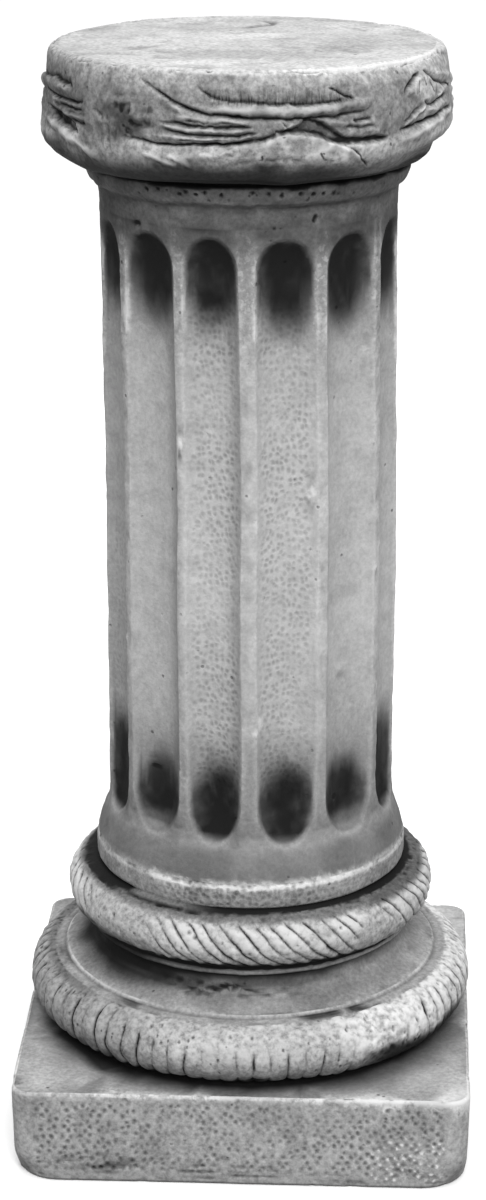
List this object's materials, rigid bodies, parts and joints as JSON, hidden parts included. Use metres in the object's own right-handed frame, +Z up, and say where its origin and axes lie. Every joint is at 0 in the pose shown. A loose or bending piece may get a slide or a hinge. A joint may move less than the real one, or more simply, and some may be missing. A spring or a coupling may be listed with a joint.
{
  "type": "garden column",
  "caption": "Low fluted garden column cast in one piece: square plinth, gadrooned and rope-twist tori, round-ended flutes, draped drum capital with a flat top to carry a pot or figure.",
  "frame": {"origin": "centre of the plinth's underside, on the ground", "axes": "+Z up along the column, -Y towards the side the picture shows, X and Y along the plinth's sides"},
  "size_m": [0.298, 0.298, 0.7],
  "materials": {
    "cast_stone": "matt reconstituted stone, pitted, black patina sprayed into the recesses and high spots rubbed pale"
  },
  "bodies": {
    "root": {"column": "cast_stone"}
  },
  "joints": []
}
